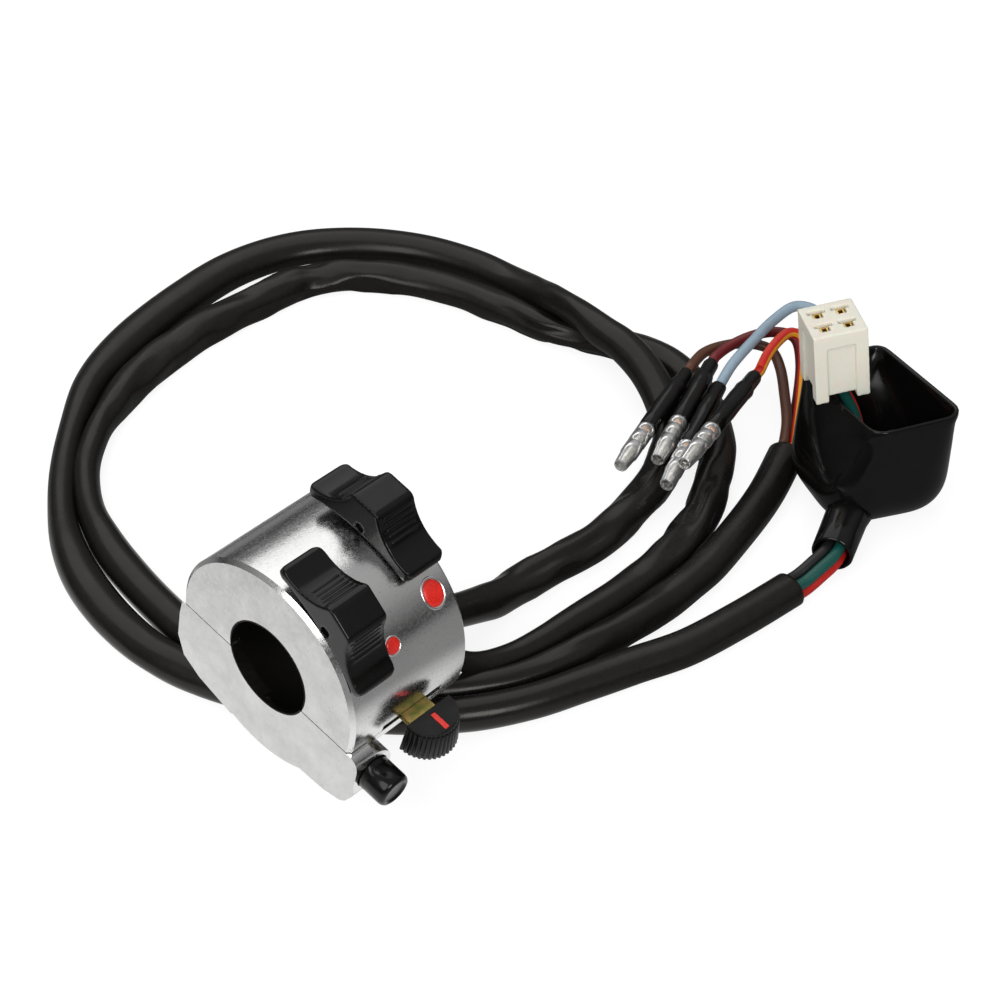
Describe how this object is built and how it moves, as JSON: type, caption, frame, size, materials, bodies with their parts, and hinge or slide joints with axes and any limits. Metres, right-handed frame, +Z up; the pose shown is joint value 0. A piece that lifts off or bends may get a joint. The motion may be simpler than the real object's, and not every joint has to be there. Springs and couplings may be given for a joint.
{
  "type": "handlebar switch cluster",
  "caption": "Split cast drum that clamps on a handlebar, with rocker switches, a turn lever, a horn button and sleeved looms that end in a booted connector and bullet terminals.",
  "frame": {"origin": "bar centre at the middle of the housing's length", "axes": "+X along the bar, +Z up as the cluster lies on a table, -Y towards the rider's thumb side"},
  "size_m": [0.1973, 0.2085, 0.0673],
  "materials": {
    "cast_alloy": "polished casting",
    "black_board": "matte",
    "gloss_black": "glossy",
    "steel": "zinc plated",
    "red_paint": "gloss paint fill",
    "zinc_yellow": "yellow zinc",
    "knob_black": "satin",
    "brass": "bright",
    "soft_black": "soft vinyl",
    "wire_brown": "vinyl",
    "wire_maroon": "vinyl",
    "wire_blue": "vinyl",
    "wire_orange_red": "vinyl with a yellow stripe",
    "tinned": "bright tin",
    "clear_vinyl": "clear vinyl",
    "wire_green": "vinyl",
    "wire_black": "vinyl",
    "wire_red": "vinyl",
    "boot_black": "glossy vinyl",
    "ivory_nylon": "satin nylon"
  },
  "bodies": {
    "housing": {"upper_shell": "cast_alloy", "lower_shell": "cast_alloy", "insulator": "black_board", "cradle_near": "black_board", "cradle_far": "black_board", "rocker_pins": "steel", "paint_dots": "red_paint", "lever_pivot": "steel", "horn_contact": "brass", "housing_screws": "steel", "loom_grommets": "soft_black", "loom_1": "soft_black", "loom_2": "soft_black", "wire_brown": "wire_brown", "wire_maroon": "wire_maroon", "wire_blue": "wire_blue", "wire_striped": "wire_orange_red", "crimp_sleeves": "soft_black", "bullet_pins": "tinned", "bullet_sleeves": "clear_vinyl", "wire_green": "wire_green", "wire_black": "wire_black", "wire_red": "wire_red", "wire_dark": "wire_maroon", "boot": "boot_black", "connector": "ivory_nylon", "connector_terminals": "brass"},
    "near_rocker": {"rocker_near": "gloss_black"},
    "far_rocker": {"rocker_far": "gloss_black"},
    "lever": {"lever_plate": "zinc_yellow", "lever_knob": "knob_black", "lever_mark": "red_paint"},
    "horn": {"horn_button": "gloss_black"}
  },
  "joints": [
    {"name": "near_rocker_tilt", "type": "hinge", "parent": "housing", "child": "near_rocker", "pos_m": [-0.0111, -0.01793, 0.02085], "axis": [1, 0, 0], "range_deg": [-10, 0]},
    {"name": "far_rocker_tilt", "type": "hinge", "parent": "housing", "child": "far_rocker", "pos_m": [0.0113, -0.00525, 0.027], "axis": [1, 0, 0], "range_deg": [-10, 0]},
    {"name": "lever_turn", "type": "hinge", "parent": "housing", "child": "lever", "pos_m": [0.0014, -0.01574, -0.00712], "axis": [0, -0.2419, 0.9703], "range_deg": [-7, 7]},
    {"name": "horn_press", "type": "slide", "parent": "housing", "child": "horn", "axis": [0, 0.9703, 0.2419], "range_m": [0, 0.0022], "stiffness_N_per_m": 250}
  ]
}
